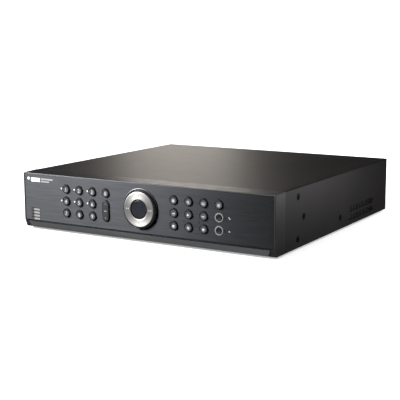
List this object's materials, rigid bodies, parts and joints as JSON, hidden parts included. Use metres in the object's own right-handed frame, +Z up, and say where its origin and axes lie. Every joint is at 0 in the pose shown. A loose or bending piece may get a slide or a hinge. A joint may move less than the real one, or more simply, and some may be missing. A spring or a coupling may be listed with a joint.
{
  "type": "digital video recorder",
  "caption": "Desktop surveillance video recorder: steel case, brushed front plate, push keys, four-way ring, rear camera sockets.",
  "frame": {"origin": "centre of the recorder's footprint, front ring and rear sockets included, on the surface that it stands on", "axes": "+X to the right of someone facing the front, +Y from the front to the rear, +Z up"},
  "size_m": [0.43, 0.4264, 0.088],
  "materials": {
    "case_paint": "fine-textured satin charcoal powder coat",
    "bezel_plastic": "satin dark grey moulded plastic",
    "brushed_face": "dark anodised, brushed along its length",
    "key_plastic": "satin-gloss dark keys with pale legends",
    "ring_metal": "spun bright aluminium with a satin clear coat",
    "black_plastic": "black moulded plastic",
    "clear_guide": "pale translucent light guides",
    "circuit_board": "green solder mask with dark packages",
    "zinc_steel": "zinc-plated sheet steel",
    "screw_steel": "black-plated cross-recess screws",
    "foot_rubber": "matt black rubber",
    "fin_aluminium": "plain extruded fins",
    "drive_case": "cast and machined drive housing",
    "nickel": "nickel-plated shells",
    "terminal_plastic": "green moulded terminals"
  },
  "bodies": {
    "case": {"front_bezel": "bezel_plastic", "face_plate": "brushed_face", "lower_trim": "brushed_face", "dial_collar": "black_plastic", "channel_light_guide": "clear_guide", "status_light_guide": "clear_guide", "key_board": "circuit_board", "top_cover": "case_paint", "base_tray": "zinc_steel", "side_screw_left_upper": "screw_steel", "side_screw_left_middle": "screw_steel", "side_screw_left_lower": "screw_steel", "side_screw_left_rear": "screw_steel", "side_screw_right_upper": "screw_steel", "side_screw_right_middle": "screw_steel", "side_screw_right_lower": "screw_steel", "side_screw_right_rear": "screw_steel", "foot_front_left": "foot_rubber", "foot_front_right": "foot_rubber", "foot_rear_left": "foot_rubber", "foot_rear_right": "foot_rubber", "main_board": "circuit_board", "heat_sink": "fin_aluminium", "hard_drive_left": "drive_case", "hard_drive_right": "drive_case", "power_supply": "zinc_steel", "fan_frame": "black_plastic", "bnc_jack_block": "nickel", "port_block": "nickel", "terminal_block": "terminal_plastic", "power_inlet": "black_plastic"},
    "number_key_1": {"number_key_1": "key_plastic"},
    "number_key_2": {"number_key_2": "key_plastic"},
    "number_key_3": {"number_key_3": "key_plastic"},
    "number_key_4": {"number_key_4": "key_plastic"},
    "number_key_5": {"number_key_5": "key_plastic"},
    "number_key_6": {"number_key_6": "key_plastic"},
    "number_key_7": {"number_key_7": "key_plastic"},
    "number_key_8": {"number_key_8": "key_plastic"},
    "number_key_9": {"number_key_9": "key_plastic"},
    "number_key_0": {"number_key_0": "key_plastic"},
    "function_key_1": {"function_key_1": "key_plastic"},
    "function_key_2": {"function_key_2": "key_plastic"},
    "function_key_3": {"function_key_3": "key_plastic"},
    "function_key_4": {"function_key_4": "key_plastic"},
    "function_key_5": {"function_key_5": "key_plastic"},
    "function_key_6": {"function_key_6": "key_plastic"},
    "function_key_7": {"function_key_7": "key_plastic"},
    "function_key_8": {"function_key_8": "key_plastic"},
    "function_key_9": {"function_key_9": "key_plastic"},
    "function_key_10": {"function_key_10": "key_plastic"},
    "ring_key_upper": {"ring_key_upper": "key_plastic"},
    "ring_key_lower": {"ring_key_lower": "key_plastic"},
    "rocker_key": {"rocker_key": "key_plastic"},
    "dial_carrier": {"dial_gimbal": "black_plastic"},
    "dial_ring": {"dial_ring_body": "black_plastic", "dial_ring_face": "ring_metal"},
    "enter_key": {"enter_key": "key_plastic"},
    "fan_rotor": {"fan_rotor": "black_plastic"},
    "power_switch": {"power_switch": "black_plastic"}
  },
  "joints": [
    {"name": "number_key_1_press", "type": "slide", "parent": "case", "child": "number_key_1", "axis": [0, 1, 0], "range_m": [0, 0.0008], "stiffness_N_per_m": 600},
    {"name": "number_key_2_press", "type": "slide", "parent": "case", "child": "number_key_2", "axis": [0, 1, 0], "range_m": [0, 0.0008], "stiffness_N_per_m": 600},
    {"name": "number_key_3_press", "type": "slide", "parent": "case", "child": "number_key_3", "axis": [0, 1, 0], "range_m": [0, 0.0008], "stiffness_N_per_m": 600},
    {"name": "number_key_4_press", "type": "slide", "parent": "case", "child": "number_key_4", "axis": [0, 1, 0], "range_m": [0, 0.0008], "stiffness_N_per_m": 600},
    {"name": "number_key_5_press", "type": "slide", "parent": "case", "child": "number_key_5", "axis": [0, 1, 0], "range_m": [0, 0.0008], "stiffness_N_per_m": 600},
    {"name": "number_key_6_press", "type": "slide", "parent": "case", "child": "number_key_6", "axis": [0, 1, 0], "range_m": [0, 0.0008], "stiffness_N_per_m": 600},
    {"name": "number_key_7_press", "type": "slide", "parent": "case", "child": "number_key_7", "axis": [0, 1, 0], "range_m": [0, 0.0008], "stiffness_N_per_m": 600},
    {"name": "number_key_8_press", "type": "slide", "parent": "case", "child": "number_key_8", "axis": [0, 1, 0], "range_m": [0, 0.0008], "stiffness_N_per_m": 600},
    {"name": "number_key_9_press", "type": "slide", "parent": "case", "child": "number_key_9", "axis": [0, 1, 0], "range_m": [0, 0.0008], "stiffness_N_per_m": 600},
    {"name": "number_key_0_press", "type": "slide", "parent": "case", "child": "number_key_0", "axis": [0, 1, 0], "range_m": [0, 0.0008], "stiffness_N_per_m": 600},
    {"name": "function_key_1_press", "type": "slide", "parent": "case", "child": "function_key_1", "axis": [0, 1, 0], "range_m": [0, 0.0008], "stiffness_N_per_m": 600},
    {"name": "function_key_2_press", "type": "slide", "parent": "case", "child": "function_key_2", "axis": [0, 1, 0], "range_m": [0, 0.0008], "stiffness_N_per_m": 600},
    {"name": "function_key_3_press", "type": "slide", "parent": "case", "child": "function_key_3", "axis": [0, 1, 0], "range_m": [0, 0.0008], "stiffness_N_per_m": 600},
    {"name": "function_key_4_press", "type": "slide", "parent": "case", "child": "function_key_4", "axis": [0, 1, 0], "range_m": [0, 0.0008], "stiffness_N_per_m": 600},
    {"name": "function_key_5_press", "type": "slide", "parent": "case", "child": "function_key_5", "axis": [0, 1, 0], "range_m": [0, 0.0008], "stiffness_N_per_m": 600},
    {"name": "function_key_6_press", "type": "slide", "parent": "case", "child": "function_key_6", "axis": [0, 1, 0], "range_m": [0, 0.0008], "stiffness_N_per_m": 600},
    {"name": "function_key_7_press", "type": "slide", "parent": "case", "child": "function_key_7", "axis": [0, 1, 0], "range_m": [0, 0.0008], "stiffness_N_per_m": 600},
    {"name": "function_key_8_press", "type": "slide", "parent": "case", "child": "function_key_8", "axis": [0, 1, 0], "range_m": [0, 0.0008], "stiffness_N_per_m": 600},
    {"name": "function_key_9_press", "type": "slide", "parent": "case", "child": "function_key_9", "axis": [0, 1, 0], "range_m": [0, 0.0008], "stiffness_N_per_m": 600},
    {"name": "function_key_10_press", "type": "slide", "parent": "case", "child": "function_key_10", "axis": [0, 1, 0], "range_m": [0, 0.0008], "stiffness_N_per_m": 600},
    {"name": "ring_key_upper_press", "type": "slide", "parent": "case", "child": "ring_key_upper", "axis": [0, 1, 0], "range_m": [0, 0.0008], "stiffness_N_per_m": 600},
    {"name": "ring_key_lower_press", "type": "slide", "parent": "case", "child": "ring_key_lower", "axis": [0, 1, 0], "range_m": [0, 0.0008], "stiffness_N_per_m": 600},
    {"name": "rocker_key_tilt", "type": "hinge", "parent": "case", "child": "rocker_key", "pos_m": [-0.0597, -0.2049, 0.041], "axis": [1, 0, 0], "range_deg": [-3, 3], "stiffness_Nm_per_rad": 0.1},
    {"name": "dial_tilt_up_down", "type": "hinge", "parent": "case", "child": "dial_carrier", "pos_m": [0.0014, -0.2026, 0.0495], "axis": [1, 0, 0], "range_deg": [-2.5, 2.5], "stiffness_Nm_per_rad": 0.6},
    {"name": "dial_tilt_left_right", "type": "hinge", "parent": "dial_carrier", "child": "dial_ring", "pos_m": [0.0014, -0.2026, 0.0495], "axis": [0, 0, 1], "range_deg": [-2.5, 2.5], "stiffness_Nm_per_rad": 0.6},
    {"name": "enter_key_press", "type": "slide", "parent": "case", "child": "enter_key", "axis": [0, 1, 0], "range_m": [0, 0.001], "stiffness_N_per_m": 800},
    {"name": "fan_spin", "type": "hinge", "parent": "case", "child": "fan_rotor", "pos_m": [-0.172, 0.1882, 0.044], "axis": [0, 1, 0], "continuous": true},
    {"name": "power_switch_tilt", "type": "hinge", "parent": "case", "child": "power_switch", "pos_m": [0.1852, 0.2021, 0.038], "axis": [1, 0, 0], "range_deg": [0, 18]}
  ]
}
